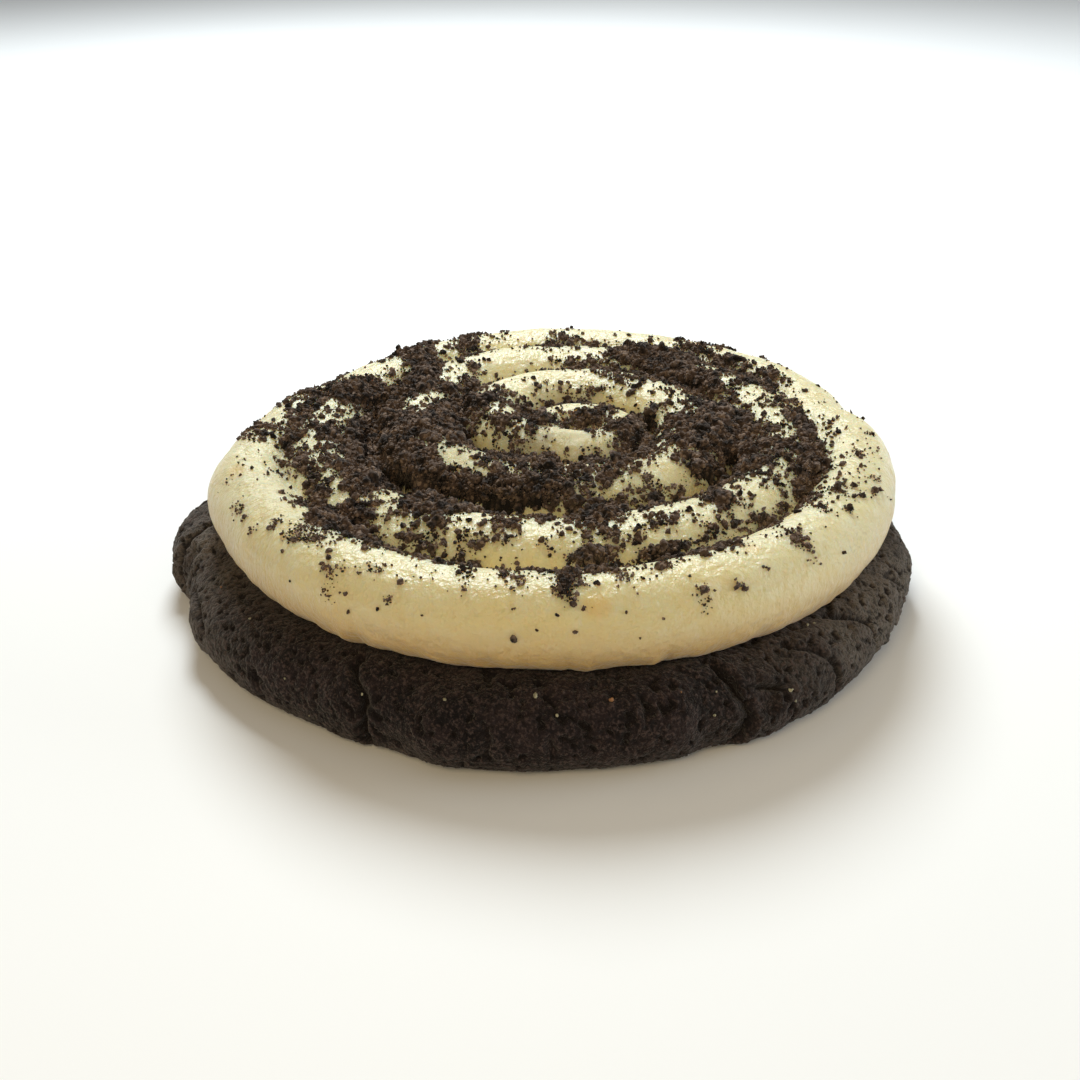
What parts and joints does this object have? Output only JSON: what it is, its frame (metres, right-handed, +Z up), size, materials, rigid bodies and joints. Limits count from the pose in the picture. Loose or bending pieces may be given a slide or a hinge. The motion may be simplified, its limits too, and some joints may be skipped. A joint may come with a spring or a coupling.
{
  "type": "frosted chocolate cookie",
  "caption": "Round chocolate cookie topped with a piped spiral of cream strewn with dark cookie crumbs.",
  "frame": {"origin": "the middle of the cookie's flat underside, on the surface that it lies on", "axes": "+Z up through the cookie, -Y towards the side that the picture shows, +X to that view's right"},
  "size_m": [0.1084, 0.1086, 0.0229],
  "materials": {
    "cookie": "matt, porous baked chocolate dough with a fine crumb, pinholes and cracks at the rim",
    "cream": "soft satin piped cream, ivory with a few yellow flecks",
    "crumbs": "matt, very dark, angular crumbs from dust to clumps of 3 mm"
  },
  "bodies": {
    "root": {"cookie_base": "cookie", "cream_spiral": "cream"}
  },
  "joints": []
}
